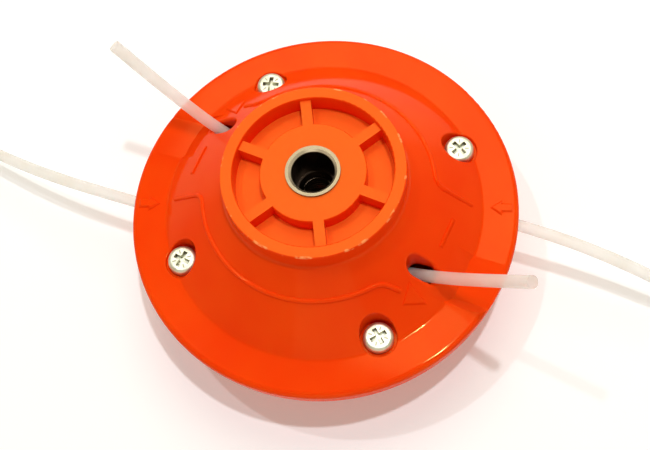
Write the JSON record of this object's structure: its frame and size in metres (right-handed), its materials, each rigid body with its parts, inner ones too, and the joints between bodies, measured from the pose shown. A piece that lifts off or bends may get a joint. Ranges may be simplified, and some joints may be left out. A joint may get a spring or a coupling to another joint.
{
  "type": "fixed line trimmer head",
  "caption": "Round moulded line trimmer head: ribbed hub on a threaded steel bush, sloping dome, screwed cover, push-in nylon lines gripped by sprung toothed cams.",
  "frame": {"origin": "on the spindle axis, at the centre of the flat base that the head rests on", "axes": "+Z along the spindle axis towards the hub side, +X along the line channels"},
  "size_m": [0.257, 0.115, 0.0621],
  "materials": {
    "orange_nylon": "injection moulded, glossy",
    "bush_steel": "turned",
    "zinc_steel": "zinc plated",
    "eyelet_steel": "plain",
    "cam_steel": "hardened, dark",
    "spring_steel": "drawn wire",
    "line_nylon": "translucent extruded"
  },
  "bodies": {
    "head": {"upper_housing": "orange_nylon", "lower_housing": "orange_nylon", "hub_bush": "bush_steel", "cover_screw_1": "zinc_steel", "cover_screw_2": "zinc_steel", "cover_screw_3": "zinc_steel", "cover_screw_4": "zinc_steel", "line_eyelet_1": "eyelet_steel", "line_eyelet_2": "eyelet_steel", "cam_pin_1": "cam_steel", "cam_pin_2": "cam_steel", "cam_spring_1": "spring_steel", "cam_spring_2": "spring_steel", "trimmer_line_1": "line_nylon", "trimmer_line_2": "line_nylon"},
    "cam_1": {"grip_cam_1": "cam_steel"},
    "cam_2": {"grip_cam_2": "cam_steel"}
  },
  "joints": [
    {"name": "cam_1_pivot", "type": "hinge", "parent": "head", "child": "cam_1", "pos_m": [-0.034, -0.001, 0.0214], "axis": [0, 0, 1], "range_deg": [0, 20], "stiffness_Nm_per_rad": 0.05, "springref_deg": -34.38, "deforming": ["cam_spring_1"]},
    {"name": "cam_2_pivot", "type": "hinge", "parent": "head", "child": "cam_2", "pos_m": [0.034, 0.001, 0.0214], "axis": [0, 0, 1], "range_deg": [0, 20], "stiffness_Nm_per_rad": 0.05, "springref_deg": -34.38, "deforming": ["cam_spring_2"]}
  ]
}
